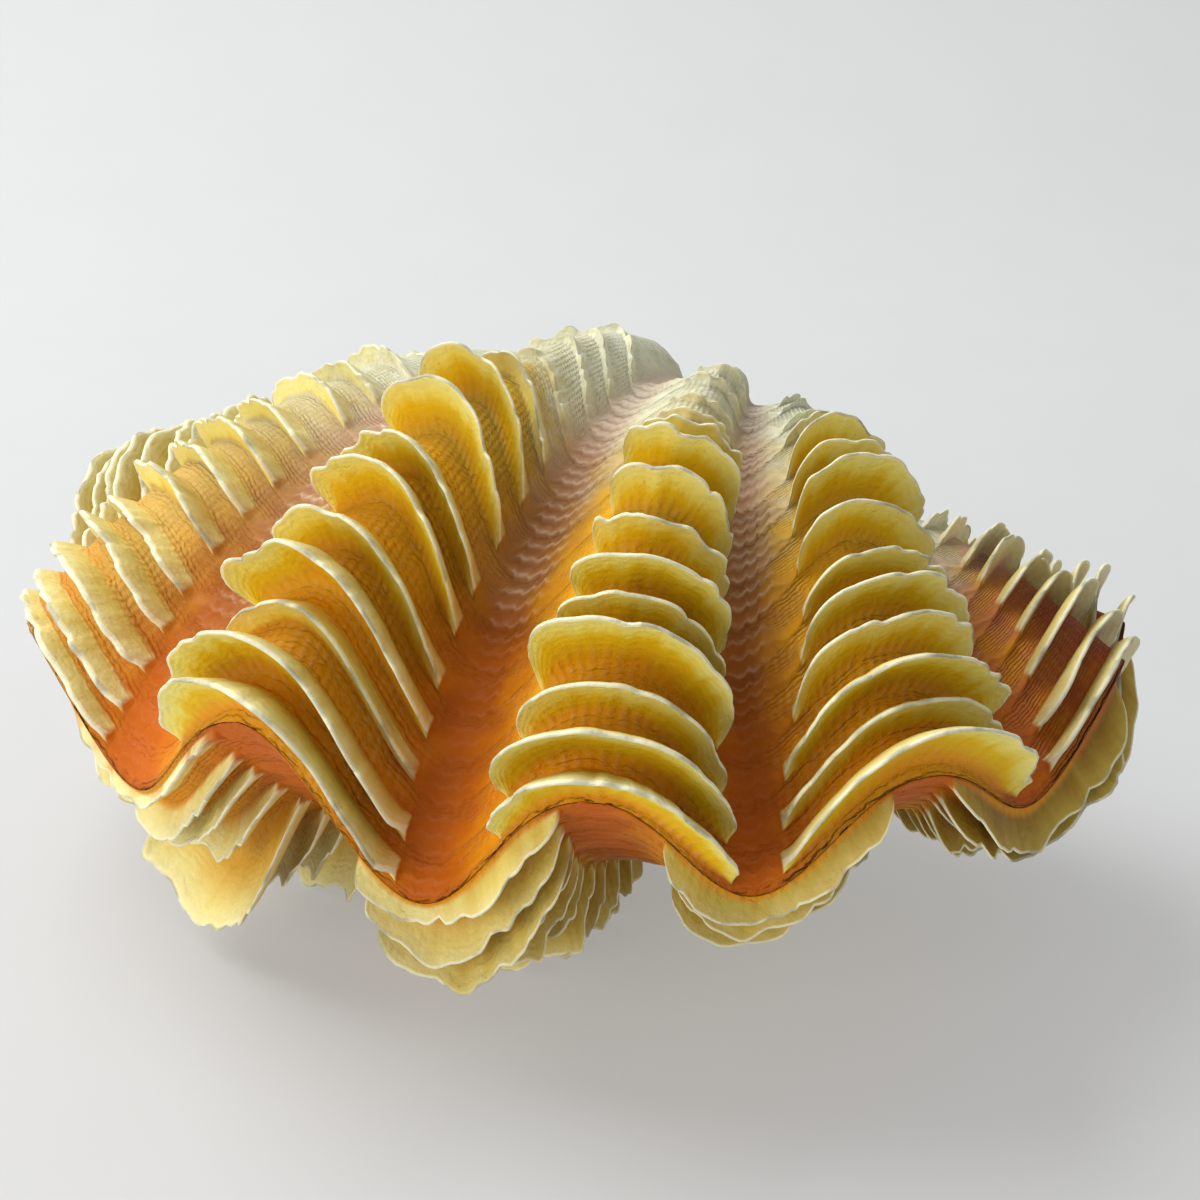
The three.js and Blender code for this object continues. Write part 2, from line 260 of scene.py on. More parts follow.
def end_fade(phase):
    """1 along the opening edge, and 0 at both ends of the hinge line."""
    return smoothstep((END_AZIMUTH - np.abs(azimuth_at(phase))) / FADE_DEGREES)


def fold_at(phase):
    """The zigzag that both valves share: +1 is a crest and -1 a groove."""
    return (1 - 2 * np.abs(np.sin(np.pi * phase)) ** RIB_BREADTH) * end_fade(phase)


def shrink_at(rate, angle):
    """Size of an older edge, against the present one."""
    early = np.maximum(0, angle - EARLY_ANGLE)
    return np.exp(-rate * angle + SLOWING * angle**2 - EARLY_RATE * early**2)


def surface_point(valve, phase, angle):
    """Points of a valve's outer surface, in a frame where the valve bulges toward +Z."""
    fold = fold_at(phase)
    reach = outline_reach(azimuth_at(phase)) * (1 + RIB_FLARE * fold)
    drift = end_fade(phase) * between(RIB_DRIFTS, phase) * angle
    direction = np.radians(azimuth_at(phase) + drift)
    length, depth = shrink_at(LENGTH_RATE, angle), shrink_at(DEPTH_RATE, angle)
    y = -reach * np.cos(direction)
    z = valve["side"] * between(RIB_RISES, phase) * fold
    cos, sin = np.cos(angle), np.sin(angle)
    return np.stack([
        reach * np.sin(direction) * length,
        (y * cos + z * sin) * depth,
        (z * cos - valve["bulge"] * y * sin) * depth,
    ], axis=-1)


def unit(vectors):
    return vectors / np.linalg.norm(vectors, axis=-1, keepdims=True)


def surface_frame(valve, phase, angle):
    """The direction out of the surface, and the one along it toward the opening edge."""
    step = SURFACE_STEP
    before = surface_point(valve, np.maximum(phase - step, FIRST_PHASE), angle)
    after = surface_point(valve, np.minimum(phase + step, LAST_PHASE), angle)
    along = unit(surface_point(valve, phase, angle - step) - surface_point(valve, phase, angle + step))
    return unit(np.cross(along, after - before)), along


def valve_place(valve, phase):
    """A phase counted from the first crest of this valve."""
    return phase + valve["crest_shift"]


def rib_place(valve, phase):
    """The nearest rib of this valve, and how far a phase lies beyond its crest."""
    place = valve_place(valve, phase)
    return np.round(place), place - np.round(place)


def rib_jitter(valve, phase, scute, salt):
    """Each rib has its own numbers, blended from rib to rib."""
    place = valve_place(valve, phase)
    rib = np.floor(place)
    seed = valve["seed"] + scute * SCUTE_SEED + salt
    near, far = wobble(seed + rib * RIB_SEED), wobble(seed + (rib + 1) * RIB_SEED)
    return lerp(near, far, smoothstep(place - rib))


def scute_angle(valve, phase, scute):
    """Growth angle of one scute over each column."""
    even = SCUTE_FIRST + SCUTE_STEP * (SCUTE_RATIO**scute - 1) / (SCUTE_RATIO - 1)
    step = SCUTE_STEP * SCUTE_RATIO**scute
    pace = between(valve["pace"], valve_place(valve, phase))
    return pace * (even + (rib_jitter(valve, phase, scute, ANGLE_SALT) - 0.5) * JITTER_ANGLE * step)


def scute_share(valve, phase, angle):
    """A scute is full height on the crest and runs out before the groove, older ones sooner."""
    rib, offset = rib_place(valve, phase)
    old = np.where(offset < 0, OLD_REACH_LEFT, OLD_REACH_RIGHT)
    reach = lerp(NEW_REACH, old, smoothstep(angle / REACH_RANGE))
    reach = reach * np.where(offset < 0, between(valve["reach_left"], rib), 1)
    return np.sqrt(np.maximum(0, 1 - (offset / reach) ** ARCH_POWER)) * end_fade(phase)


def groove_share(valve, phase, angle):
    """1 in a groove and 0 on a rib. Older grooves are wider on the side that the scutes leave free."""
    _, offset = rib_place(valve, phase)
    old = smoothstep(angle / LAMELLA_RANGE)
    start = np.where(offset < 0, lerp(GROOVE_START, OLD_GROOVE_START, old), GROOVE_START)
    return smoothstep((np.abs(offset) - start) / GROOVE_RANGE)


def mixed_seed(valve, scute, seeds):
    """A seed that differs for each scute of each valve."""
    return valve["seed"] * seeds[0] + scute * seeds[1]


def scute_height(valve, phase, scute, angle, arc):
    """Height of one scute over each column. Its waves, jags and chips are cut inward only."""
    share = scute_share(valve, phase, angle)
    place = valve_place(valve, phase)
    wear = smoothstep((angle - between(valve["worn"], place)) / WORN_RANGE)
    kept = between(valve["tall"], place) * lerp(1, WORN_SHARE, wear)
    kept = kept * lerp(between(valve["young"], place), 1, smoothstep(angle / YOUNG_RANGE))
    for rib, odd_scute, factor in valve["odd"]:
        if odd_scute == scute:
            kept = np.where(np.round(place) == rib, kept * factor, kept)
    tallness = 1 + (rib_jitter(valve, phase, scute, HEIGHT_SALT) - 0.5) * JITTER_HEIGHT
    height = SCUTE_HEIGHT * shrink_at(LENGTH_RATE, angle) ** HEIGHT_POWER * share * tallness * kept
    seed = mixed_seed(valve, scute, EDGE_SEEDS)
    for i, (pitch, depth) in enumerate(valve["edge_waves"]):
        height = height * (1 - depth * ragged(arc / pitch, seed + i))
    pitch, depth = EDGE_JAG
    height = height - depth * ragged(arc / pitch, seed + JAG_SALT) ** 2
    pitch, depth = EDGE_CHIP
    chip = smoothstep((noise(arc / pitch, seed + CHIP_SALT) - CHIP_START) / CHIP_RANGE)
    height = height - depth * chip * noise(arc / CHIP_GRAIN, seed + GRAIN_SALT)
    return np.maximum(height, 0)


def add_row(rows, valve, points, growth, **read):
    """Keeps one row of points, with what the materials read at each of them."""
    if valve["side"] < 0:
        points[:, 2] = np.minimum(points[:, 2], DEPTH_LIMIT)
    fields = dict(OFF_SCUTE, growth=growth, **read)
    blank = np.zeros(len(points))
    rows.append(dict(points=points, **{key: blank + value for key, value in fields.items()}))


def add_scute(rows, valve, phase, arc, scute):
    """One scute on every rib, and the growth layer that joins them across the grooves."""
    angle = scute_angle(valve, phase, scute)
    step = SCUTE_STEP * SCUTE_RATIO**scute
    next_gap = scute_angle(valve, phase, scute + 1) - angle
    height = scute_height(valve, phase, scute, angle, arc)
    groove = groove_share(valve, phase, angle)
    wander = SCALLOP_WANDER * noise(arc / WANDER_PITCH, WANDER_SEED)
    scallop = SCALLOP_ANGLE * np.abs(np.sin(np.pi * (arc + wander) / SCALLOP_PITCH)) * groove
    out, along = surface_frame(valve, phase, angle)
    crest = rib_place(valve, phase)[0] - valve["crest_shift"]
    crest_out = surface_frame(valve, np.clip(crest, FIRST_PHASE, LAST_PHASE), angle)[0]
    up = unit(out + crest_out)
    if valve["side"] < 0:
        base = surface_point(valve, phase, angle)
        rise = up[:, 2] + SCUTE_LEAN * along[:, 2]
        room = (DEPTH_LIMIT - base[:, 2]) / np.maximum(rise, LEAST_RISE)
        height = np.where(rise > LEAST_RISE, np.minimum(height, np.maximum(room, 0)), height)
    shrink = shrink_at(LENGTH_RATE, angle)
    half = 0.5 * SCUTE_THICKNESS * np.sqrt(shrink) * np.clip(height / THICK_HEIGHT, THIN_END, 1)
    lean = (SCUTE_LEAN + LEAN_RANGE * (rib_jitter(valve, phase, scute, LEAN_SALT) - 0.5)) * height
    seed = mixed_seed(valve, scute, WAVE_SEEDS)
    wave = sum(size * (noise(arc / pitch, seed + i) - 0.5) for i, (pitch, size) in enumerate(LEAN_WAVES))
    wave = wave * np.clip(height / WAVE_HEIGHT, 0, 1)
    grown = lerp(YOUNG_RIPPLE, 1, smoothstep(angle / LAMELLA_RANGE))
    ripple = GROOVE_RIPPLE * grown * groove * shrink * end_fade(phase)
    ripple = ripple * (LEAST_RIPPLE + noise(arc / RIPPLE_PITCH, seed + RIPPLE_SALT))
    for row, (place, stand, side, tooth) in enumerate(SCUTE_ROWS):
        standing = place * (SCUTE_FOOT if place < 0 else step)
        even = -SCUTE_FOOT + (row / len(SCUTE_ROWS)) * next_gap
        at = angle + lerp(standing, even, groove) - scallop
        points = surface_point(valve, phase, at)
        rise = GROWTH_STEP * stand + height * stand + ripple * tooth
        bow = -FACE_BOW * 4 * stand * (1 - stand) * height
        shift = lean * stand**LEAN_POWER + wave * stand**2 + bow + side * half * min(1, FOOT_FADE * stand)
        points = points + up * rise[:, None] + along * (shift * (1 - groove))[:, None]
        add_row(rows, valve, points, at, stand=stand, edge=(1 - stand) * height, height=height, side=side,
                tooth=tooth * groove)


def outer_rows(valve, phase, arc):
    """All rows of the outer surface, from the opening edge to the umbo."""
    rows = []
    edge = np.zeros(len(phase))
    add_row(rows, valve, surface_point(valve, phase, edge), edge)
    for scute in range(valve["scutes"]):
        add_scute(rows, valve, phase, arc, scute)
    last = scute_angle(valve, phase, valve["scutes"]) - SCUTE_FOOT
    for row in range(UMBO_ROWS):
        share = (row / (UMBO_ROWS - 1)) ** UMBO_CROWDING
        at = lerp(last, UMBO_ANGLE, share)
        out = surface_frame(valve, phase, at)[0]
        ridge = UMBO_RIDGE * (1 - share) * (row % 2) * noise(arc / UMBO_RIDGE_PITCH, UMBO_SEED + row)
        add_row(rows, valve, surface_point(valve, phase, at) + out * ridge[:, None], at)
    return rows


def inner_rows(valve, phase):
    """The smooth inner surface, drawn toward the middle of the hollow."""
    rows = []
    for row in range(INNER_ROWS):
        share = row / (INNER_ROWS - 1)
        angle = np.full(len(phase), INNER_LAST_ANGLE * share**INNER_CROWDING)
        keep = lerp(WALL_AT_EDGE, WALL_AT_UMBO, share)
        rows.append((surface_point(valve, phase, angle) - HOLLOW_CENTRE) * keep + HOLLOW_CENTRE)
    return rows


def distances(line):
    """How far each point of a line is along it."""
    return np.concatenate([[0], np.cumsum(np.linalg.norm(np.diff(line, axis=0), axis=1))])


def column_phases(valve):
    """Columns spaced evenly over the scutes, and the distance of each along the zigzag edge in mm."""
    fine = np.linspace(FIRST_PHASE, LAST_PHASE, FINE_COLUMNS)
    angle = np.full(len(fine), SPACING_ANGLE)
    line = surface_point(valve, fine, angle)
    arch = scute_share(valve, fine, 0)
    tips = line + surface_frame(valve, fine, angle)[0] * (0.5 * SCUTE_HEIGHT * arch)[:, None]
    total = distances(tips)
    phase = np.interp(np.linspace(0, total[-1], valve["columns"]), total, fine)
    return phase, np.interp(phase, fine, distances(line))


def hinge_strip(outer_end, inner_end, points):
    """Triangles of the flat strip on the hinge line, between an end of the outside and of the inside."""
    faces, i, j = [], 0, 0
    while i < len(outer_end) - 1 or j < len(inner_end) - 1:
        outer_left, inner_left = i < len(outer_end) - 1, j < len(inner_end) - 1
        farther = outer_left and inner_left and (
            abs(points[outer_end[i + 1]][0]) >= abs(points[inner_end[j + 1]][0]))
        if not inner_left or farther:
            faces.append((outer_end[i], outer_end[i + 1], inner_end[j]))
            i += 1
        else:
            faces.append((outer_end[i], inner_end[j + 1], inner_end[j]))
            j += 1
    return faces


def skin_faces(points, rows, count, side):
    """Faces of a closed skin: outer rows, umbo, opening edge, inner rows and both ends."""
    first_inner = rows * count
    umbo_point, umbo_inner = len(points) - 2, len(points) - 1
    faces = []

    def band(a, b):
        return [(a + i, a + i + 1, b + i + 1, b + i) for i in range(count - 1)]

    for row in range(rows - 1):
        faces += band(row * count, (row + 1) * count)
    last = (rows - 1) * count
    faces += [(last + i, last + i + 1, umbo_point) for i in range(count - 1)]
    faces += band(first_inner, 0)
    for row in range(INNER_ROWS - 1):
        at = first_inner + row * count
        faces += band(at + count, at)
    last = first_inner + (INNER_ROWS - 1) * count
    faces += [(umbo_inner, last + i + 1, last + i) for i in range(count - 1)]
    for column, flip in ((0, False), (count - 1, True)):
        outside = [row * count + column for row in range(rows)] + [umbo_point]
        inside = [first_inner + row * count + column for row in range(INNER_ROWS)] + [umbo_inner]
        strip = hinge_strip(outside, inside, points)
        faces += [face[::-1] for face in strip] if flip else strip
    return [face[::-1] for face in faces] if side < 0 else faces


def build_valve(name, node, umbo):
    """One closed skin for a valve, as a mesh object in the row frame."""
    valve = VALVES[name]
    phase, arc = column_phases(valve)
    outer = outer_rows(valve, phase, arc)
    tips = np.array([np.zeros(3), -HOLLOW_CENTRE * WALL_AT_UMBO + HOLLOW_CENTRE])
    points = np.concatenate([row["points"] for row in outer] + inner_rows(valve, phase) + [tips])
    faces = skin_faces(points, len(outer), len(phase), valve["side"])
    placed = points + [0, 0, VALVE_GAP / 2]
    placed[:, 2] *= valve["side"]
    mesh = bpy.data.meshes.new(node)
    mesh.from_pydata((placed * MM + umbo).tolist(), [], faces)
    fields = {key: np.concatenate([row[key] for row in outer]) for key in ("growth", *OFF_SCUTE)}
    from_crest = np.abs(rib_place(valve, phase)[1])
    for key, values in (("phase", phase), ("arc", arc), ("crest", from_crest * 2)):
        fields[key] = np.tile(values, len(outer))
    for key, values in fields.items():
        full = np.zeros(len(points), np.float32)
        full[: len(values)] = values
        mesh.attributes.new(key, "FLOAT", "POINT").data.foreach_set("value", full)
    mesh.shade_smooth()
    mesh.update()
    piece = bpy.data.objects.new(f"{node}_shell", mesh)
    bpy.context.scene.collection.objects.link(piece)
    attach(piece, "root")
    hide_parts(node)
    return piece


def rgb(text):
    """A colour as it looks on screen, such as e8d9a0, to Blender's linear values."""
    values = [int(text[i : i + 2], 16) / 255 for i in (0, 2, 4)]
    linear = [v / 12.92 if v <= 0.04045 else ((v + 0.055) / 1.055) ** 2.4 for v in values]
    return (*linear, 1.0)


class Nodes:
    """Short names for making a material's nodes."""

    def __init__(self, name):
        self.material = bpy.data.materials.new(name)
        self.material.use_nodes = True
        self.tree = self.material.node_tree
        self.shader = self.tree.nodes["Principled BSDF"]
        self.place = self.node("ShaderNodeTexCoord").outputs["Object"]

    def node(self, kind, **values):
        made = self.tree.nodes.new(kind)
        for key, value in values.items():
            setattr(made, key, value)
        return made

    def put(self, socket, value):
        if isinstance(value, bpy.types.NodeSocket):
            self.tree.links.new(value, socket)
        else:
            socket.default_value = value

    def attribute(self, name):
        return self.node("ShaderNodeAttribute", attribute_name=name).outputs["Fac"]

    def math(self, operation, *numbers):
        made = self.node("ShaderNodeMath", operation=operation)
        for socket, number in zip(made.inputs, numbers):
            self.put(socket, number)
        return made.outputs[0]

    def times(self, a, b):
        return self.math("MULTIPLY", a, b)

    def add(self, base, value, factor):
        """base + value x factor"""
        return self.math("MULTIPLY_ADD", value, factor, base)

    def steps(self, value, low, high, to_low=0.0, to_high=1.0):
        """A smooth change from one value to another between two limits."""
        made = self.node("ShaderNodeMapRange", interpolation_type="SMOOTHSTEP")
        for socket, number in zip(made.inputs[:5], (value, low, high, to_low, to_high)):
            self.put(socket, number)
        return made.outputs[0]

    def noise(self, size_mm, detail, vector=None):
        made = self.node("ShaderNodeTexNoise")
        self.put(made.inputs["Vector"], vector or self.place)
        made.inputs["Scale"].default_value = 1 / (size_mm * MM)
        made.inputs["Detail"].default_value = detail
        made.inputs["Roughness"].default_value = NOISE_ROUGHNESS
        return made.outputs["Fac"]

    def waves(self, value, pitch):
        """Ridges between 0 and 1, one for each pitch of the value."""
        return self.add(0.5, self.math("SINE", self.times(value, 2 * math.pi / pitch)), 0.5)

    def mix(self, a, b, factor):
        made = self.node("ShaderNodeMix", data_type="RGBA")
        self.put(made.inputs["Factor"], factor)
        self.put(made.inputs["A"], a)
        self.put(made.inputs["B"], b)
        return made.outputs["Result"]

    def ramp(self, factor, stops):
        made = self.node("ShaderNodeValToRGB")
        ramp = made.color_ramp
        while len(ramp.elements) < len(stops):
            ramp.elements.new(1.0)
        for element, (place, colour) in zip(ramp.elements, stops):
            element.position = place
            element.color = rgb(colour)
        self.put(made.inputs["Fac"], factor)
        return made.outputs["Color"]

    def bump(self, height, distance_mm):
        made = self.node("ShaderNodeBump")
        made.inputs["Distance"].default_value = distance_mm * MM
        self.put(made.inputs["Height"], height)
        self.put(self.shader.inputs["Normal"], made.outputs["Normal"])


# Tones by age (0 at the opening edge) or by depth below a scute's free edge, and the phases between which
# the pale and the grey scute faces come in
TONES = dict(
    groove=[(0.1, "c4600e"), (0.28, "a0560e"), (0.4, "a87240"), (0.55, "be9676"), (0.8, "dcccb4")],
    left=[(0.08, "e29a30"), (0.2, "dcb050"), (0.4, "d2bc7c"), (0.8, "dcd4b0")],
    right=[(0.1, "c0603a"), (0.3, "c4724e"), (0.5, "d0a084"), (0.8, "e0c4ac")],
    crest=[(0.1, "e8980c"), (0.3, "e8a814"), (0.45, "dcb02c"), (0.6, "d0b45c"), (0.8, "dcd4a8")],
    # Face ramps run from the free edge down to the foot. Their darkening toward the foot is partly painted
    # shade, and the bright yellows of face and pale_face are partly a painted glow of light through the thin
    # scutes, over the scutes' own colour
    face=[(0.06, "f8f0a0"), (0.33, "f6e46a"), (0.5, "eec41c"), (0.95, "de9608")],
    pale_face=[(0.08, "fcf4b0"), (0.4, "faec80"), (0.6, "f4cc38"), (0.95, "eaaa18")],
    grey_face=[(0.08, "ece4b8"), (0.35, "dccca0"), (0.6, "cca88c"), (0.95, "bc7c5c")],
    back=[(0.08, "ece0a0"), (0.35, "dcc470"), (0.7, "c09c44"), (1.0, "b08438")],
    worn=[(0.35, "c8c49a"), (0.6, "dedcb8"), (0.9, "f0eed6")],
    # rim, the cream free edge, is partly the thin edge's own pale tone and partly a painted highlight
    riblet="e6d09c", band="e8ceb8", step="8c4c28", face_line="c88408", rim="f6f0cc", rim_grey="b0ad92",
    dirt="7c5a30", pale_phases=(1.6, 0.4), grey_phases=(4.4, 5.0),
)
LOWER_TONES = dict(
    TONES,
    # The lower valve's faces also darken toward the foot partly as painted shade
    face=[(0.08, "e8d68c"), (0.3, "d8bc54"), (0.6, "c08e2c"), (0.95, "9c6418")],
    # On the lower valve the pale faces at the left are partly painted light on the lower plates, over their
    # own pale tone
    pale_face=[(0.08, "f8f0b4"), (0.35, "f4e494"), (0.6, "eccc6c"), (0.95, "dca83c")],
    # The lower valve's darker olive grey faces at the right are partly painted shade, over their own olive
    # tone
    grey_face=[(0.08, "c8ac50"), (0.35, "a88430"), (0.6, "86621c"), (0.95, "684610")],
    back=[(0.08, "f4e49c"), (0.35, "ecd078"), (0.7, "d8ac50"), (1.0, "c08c38")],
    pale_phases=(3.0, 1.9), grey_phases=(3.2, 4.3),
)

# Sizes of the noises and pitches of the lines, in mm. The growth lines' pitch is in radians of growth, and
# STREAK_SPREAD is how fast streaks change from scute to scute
BLOTCH_SIZE = 26
PATCH_SIZE = 8
GRAIN_SIZE = 2.1
SPECK_SIZE = 0.55
STREAK_SIZE = 3.5
STREAK_SPREAD = 0.2
RIBLET_PITCH = 2.6
FACE_LINE_PITCH = 2.1
GROWTH_LINE_PITCH = 0.009
NOISE_ROUGHNESS = 0.55

# How noises and lines shift what the look reads, before it meets the limits below
AGE_BLOTCH = 0.3
AGE_PATCH = 0.12
AGE_OFFSET = 0.21
GROOVE_PATCH = 0.4
RIGHT_PATCH = 0.5
FACE_GRAIN = 1.2
FACE_STREAK = 7.0
FACE_DEPTH = 18.0
FACE_OFFSET = 0.12
WORN_PATCH = 0.3
WORN_LINES = 0.12
LINE_GRAIN = 0.01
LINE_PATCH = 0.02
RIBLET_PATCH = 2.2
FACE_LINE_PATCH = 5.0
RIM_GRAIN = -0.4

# Where each part of the shell's look comes in: two limits of what it reads and, unless it goes from
# 0 to 1, its strength at either limit
LIMITS = dict(
    age=(-0.35, 1.65),
    plate_stand=(0.02, 0.3),
    plate_height=(0.8, 3.5),
    plate_side=(-0.3, 0.3),
    left_ribs=(1.7, 1.1),
    right_ribs=(4.7, 5.2),
    groove=(0.5, 1.15),
    worn_growth=(0.6, 1.15),
    worn_height=(9.0, 3.0),
    worn_crest=(0.95, 0.45),
    riblet_stand=(0.55, 0.0),
    riblet_blotch=(0.3, 0.6, 0.4, 1.0),
    riblet_crest=(0.5, 0.95, 1.0, 0.2),
    riblet_grain=(0.3, 0.7, 0.0, 0.16),
    step_tooth=(0.55, 0.05),
    step_crest=(0.5, 0.95, 0.0, 0.3),
    step_age=(0.16, 0.42),
    band_tooth=(0.5, 1.0),
    band_grain=(0.25, 0.6, 0.1, 0.55),
    band_age=(0.16, 0.5, 0.06, 1.0),
    face_line_blotch=(0.4, 0.7, 0.0, 0.06),
    rim_edge=(0.5, 0.05),
    rim_height=(1.0, 2.5),
    rim_grey=(0.5, 0.66, 0.0, 0.75),
    dirt_speck=(0.66, 0.86),
    dirt_patch=(0.45, 0.7, 0.0, 0.35),
    line_stand=(0.4, 0.0),
    roughness=(0.2, 0.8, 0.4, 0.66),
)

# Heights of the relief that is too fine for the mesh, in mm, and the gloss
RELIEF_DISTANCE = 1.0
RIBLET_RELIEF = 0.18
LINE_RELIEF = 0.25
FACE_LINE_RELIEF = 0.04
GRAIN_RELIEF = 0.37
SHELL_GLOSS = 0.13


class ShellNodes(Nodes):
    """A shell material, with what its look reads: the mesh's fields, noises and lines."""

    def __init__(self, name, tones):
        super().__init__(name)
        self.tones = tones
        for field in ("growth", "phase", "arc", "crest", *OFF_SCUTE):
            setattr(self, field, self.attribute(field))
        self.blotch = self.noise(BLOTCH_SIZE, 0)
        self.patch = self.noise(PATCH_SIZE, 1)
        self.grain = self.noise(GRAIN_SIZE, 2)
        self.speck = self.noise(SPECK_SIZE, 0)
        age = self.add(self.add(self.growth, self.blotch, AGE_BLOTCH), self.patch, AGE_PATCH)
        self.age = self.limit(self.math("SUBTRACT", age, AGE_OFFSET), "age")
        upright = self.limit(self.stand, "plate_stand")
        self.standing = self.times(upright, self.limit(self.height, "plate_height"))
        grown = self.add(self.add(self.growth, self.grain, LINE_GRAIN), self.patch, LINE_PATCH)
        self.lines = self.waves(grown, GROWTH_LINE_PITCH)
        face_lines = self.waves(self.add(self.edge, self.patch, FACE_LINE_PATCH), FACE_LINE_PITCH)
        self.face_lines = self.times(face_lines, self.standing)
        riblets = self.waves(self.add(self.arc, self.patch, RIBLET_PATCH), RIBLET_PITCH)
        low = self.times(self.limit(self.stand, "riblet_stand"), self.limit(self.blotch, "riblet_blotch"))
        self.riblets = self.times(self.times(riblets, low), self.limit(self.crest, "riblet_crest"))

    def limit(self, value, name):
        return self.steps(value, *LIMITS[name])

    def tone(self, place, name):
        return self.ramp(place, self.tones[name])

    def paint(self, colour, name, share):
        """A plain tone over a colour."""
        return self.mix(colour, rgb(self.tones[name]), share)


def ground_colour(n):
    """Crests, then grooves between the scutes, each changing with age, and the pinkish right end."""
    crests = n.mix(n.tone(n.age, "crest"), n.tone(n.age, "left"), n.limit(n.phase, "left_ribs"))
    in_groove = n.limit(n.add(n.crest, n.patch, GROOVE_PATCH), "groove")
    at_right = n.limit(n.add(n.phase, n.patch, RIGHT_PATCH), "right_ribs")
    return n.mix(n.mix(crests, n.tone(n.age, "groove"), in_groove), n.tone(n.age, "right"), at_right)


def plate_colour(n):
    """Scute faces and backs, from the free edge down to the foot, with streaks down the face. The faces'
    darkening toward the foot is partly painted shade, and their bright yellows partly painted glow.
    """
    along_edge = n.node("ShaderNodeCombineXYZ")
    n.put(along_edge.inputs["X"], n.times(n.arc, MM))
    n.put(along_edge.inputs["Y"], n.times(n.growth, STREAK_SPREAD))
    streak = n.noise(STREAK_SIZE, 2, vector=along_edge.outputs["Vector"])
    depth = n.add(n.add(n.edge, n.grain, FACE_GRAIN), streak, FACE_STREAK)
    depth = n.math("SUBTRACT", n.math("DIVIDE", depth, FACE_DEPTH), FACE_OFFSET)
    # Painted shade toward the foot and painted glow in the yellows, over the faces' own colour
    face = n.tone(depth, "face")
    # On the lower valve the pale faces at the left are partly painted light, and the grey faces at the right
    # partly painted shade
    for kind in ("pale", "grey"):
        face = n.mix(face, n.tone(depth, f"{kind}_face"), n.steps(n.phase, *n.tones[f"{kind}_phases"]))
    return n.mix(n.tone(depth, "back"), face, n.limit(n.side, "plate_side"))


def add_wear(n, colour):
    """Growth toward the umbo is worn pale."""
    worn = n.limit(n.add(n.growth, n.patch, WORN_PATCH), "worn_growth")
    worn = n.times(n.times(worn, n.limit(n.height, "worn_height")), n.limit(n.crest, "worn_crest"))
    tone = n.tone(n.add(n.add(n.grain, n.lines, WORN_LINES), n.patch, WORN_PATCH), "worn")
    return n.mix(colour, tone, worn)


def add_lines(n, colour):
    """Pale riblets, dark steps and pale edges of the growth layers in old grooves, and face lines."""
    colour = n.paint(colour, "riblet", n.times(n.riblets, n.limit(n.grain, "riblet_grain")))
    step = n.times(n.limit(n.tooth, "step_tooth"), n.limit(n.crest, "step_crest"))
    colour = n.paint(colour, "step", n.times(step, n.limit(n.age, "step_age")))
    band = n.times(n.limit(n.tooth, "band_tooth"), n.limit(n.grain, "band_grain"))
    colour = n.paint(colour, "band", n.times(band, n.limit(n.age, "band_age")))
    return n.paint(colour, "face_line", n.times(n.face_lines, n.limit(n.blotch, "face_line_blotch")))


def add_rim_and_dirt(n, colour):
    """The thin cream free edge of the scutes, partly its own pale tone and partly a painted highlight, with
    grey patches, and a little dirt.
    """
    # The cream rim is partly a painted highlight along the free edge
    rim = n.times(n.limit(n.add(n.edge, n.grain, RIM_GRAIN), "rim_edge"), n.limit(n.height, "rim_height"))
    rim_tone = n.paint(rgb(n.tones["rim"]), "rim_grey", n.limit(n.patch, "rim_grey"))
    colour = n.mix(colour, rim_tone, rim)
    return n.paint(colour, "dirt", n.times(n.limit(n.speck, "dirt_speck"), n.limit(n.patch, "dirt_patch")))


def shell_material(name, tones):
    """Shell: cream free edges that are partly a painted highlight, lemon to amber scute faces with partly
    painted glow and shade, orange grooves and a pale worn umbo.
    """
    n = ShellNodes(name, tones)
    colour = n.mix(ground_colour(n), plate_colour(n), n.standing)
    for add_layer in (add_wear, add_lines, add_rim_and_dirt):
        colour = add_layer(n, colour)
    n.put(n.shader.inputs["Base Color"], colour)
    n.put(n.shader.inputs["Roughness"], n.limit(n.grain, "roughness"))
    n.shader.inputs["Specular IOR Level"].default_value = SHELL_GLOSS
    relief = n.times(n.riblets, RIBLET_RELIEF)
    relief = n.add(relief, n.times(n.lines, n.limit(n.stand, "line_stand")), LINE_RELIEF)
    relief = n.add(n.add(relief, n.face_lines, FACE_LINE_RELIEF), n.grain, GRAIN_RELIEF)
    n.bump(relief, RELIEF_DISTANCE)
    return n.material


# The ligament's markings, in mm
LIGAMENT_STRETCH = (0.12, 1.0, 1.0)
FIBRE_SIZE = 0.9
FIBRE_RELIEF = 0.5
DRY_PATCH_SIZE = 6
FIBRE_TONES = [(0.25, "20130b"), (0.75, "4c3119")]
DRY_TONE = "6e543a"
DRY_LIMITS = (0.55, 0.8, 0, 0.6)
DRY_ROUGHNESS = (0.3, 0.7, 0.45, 0.8)


def ligament_material():
    """Dried horny tissue: dark brown, with fibres along the hinge."""
    n = Nodes("ligament")
    stretched = n.node("ShaderNodeMapping")
    n.put(stretched.inputs["Vector"], n.place)
    stretched.inputs["Scale"].default_value = LIGAMENT_STRETCH
    fibres = n.noise(FIBRE_SIZE, 4, vector=stretched.outputs["Vector"])
    patches = n.noise(DRY_PATCH_SIZE, 3)
    tone = n.mix(n.ramp(fibres, FIBRE_TONES), rgb(DRY_TONE), n.steps(patches, *DRY_LIMITS))
    n.put(n.shader.inputs["Base Color"], tone)
    n.put(n.shader.inputs["Roughness"], n.steps(patches, *DRY_ROUGHNESS))
    n.bump(fibres, FIBRE_RELIEF)
    return n.material


